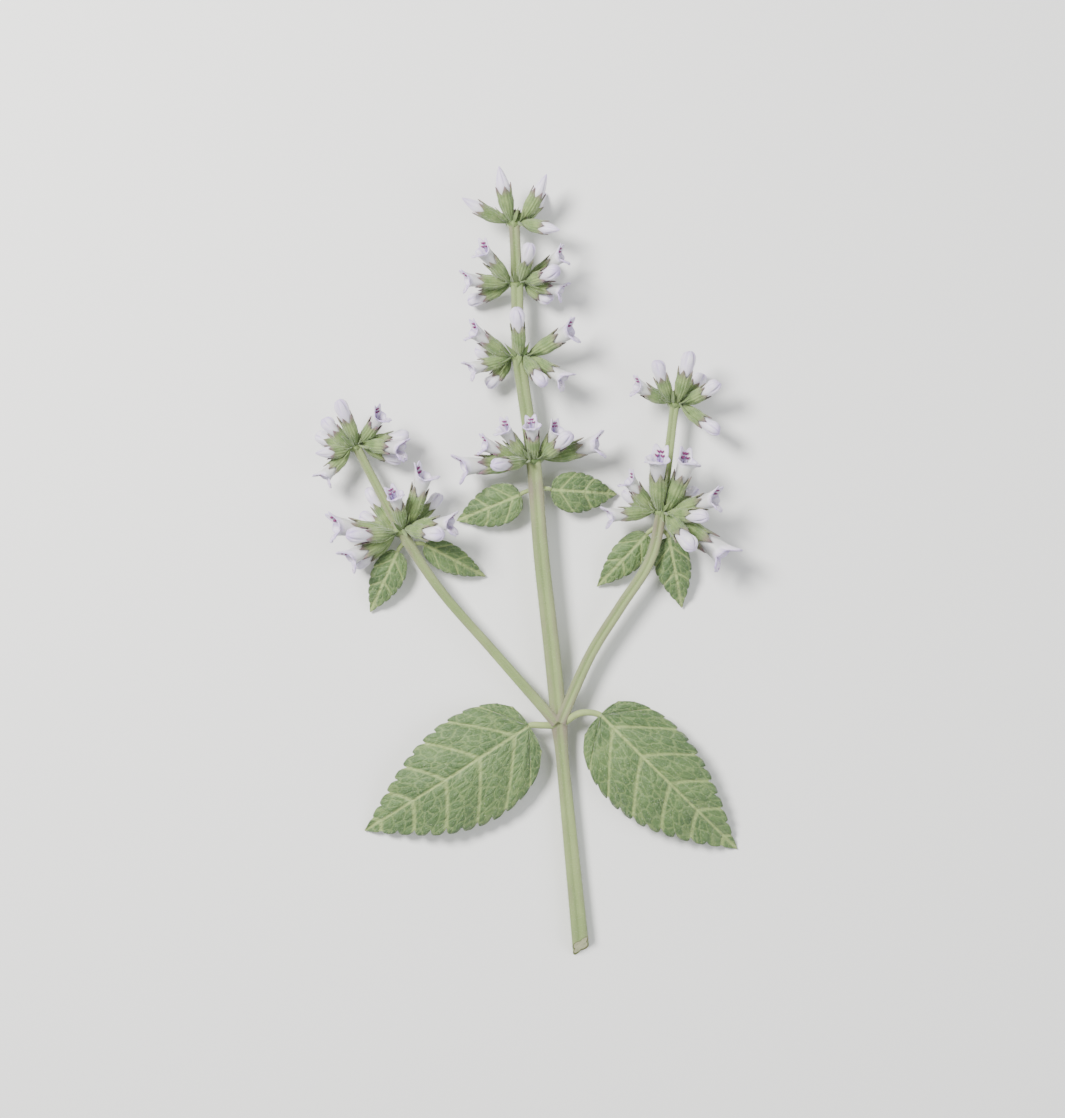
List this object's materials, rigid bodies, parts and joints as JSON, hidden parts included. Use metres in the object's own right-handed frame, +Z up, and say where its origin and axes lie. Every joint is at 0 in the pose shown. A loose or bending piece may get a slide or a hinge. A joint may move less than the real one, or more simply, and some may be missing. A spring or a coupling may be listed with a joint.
{
  "type": "catnip plant",
  "caption": "Cut sprig of a flowering herb: a square stem with two side branches, toothed heart-shaped leaves and whorls of two-lipped flowers, lying down.",
  "frame": {"origin": "middle of the footprint, on the surface that the sprig lies on", "axes": "+Y along the main stem towards its flowering tip, +Z up from the surface"},
  "size_m": [0.0924, 0.174, 0.0171],
  "materials": {
    "stem": "downy, slightly rough",
    "leaf": "soft matt, finely downy",
    "flower": "thin soft petal"
  },
  "bodies": {
    "root": {"main_stem": "stem", "left_branch": "stem", "right_branch": "stem", "left_leaf": "leaf", "right_leaf": "leaf", "main_left_bract": "leaf", "main_right_bract": "leaf", "left_outer_bract": "leaf", "left_inner_bract": "leaf", "right_inner_bract": "leaf", "right_outer_bract": "leaf", "main_whorl_1": "flower", "main_whorl_2": "flower", "main_whorl_3": "flower", "main_whorl_4": "flower", "left_whorl_1": "flower", "left_whorl_2": "flower", "right_whorl_1": "flower", "right_whorl_2": "flower"}
  },
  "joints": []
}
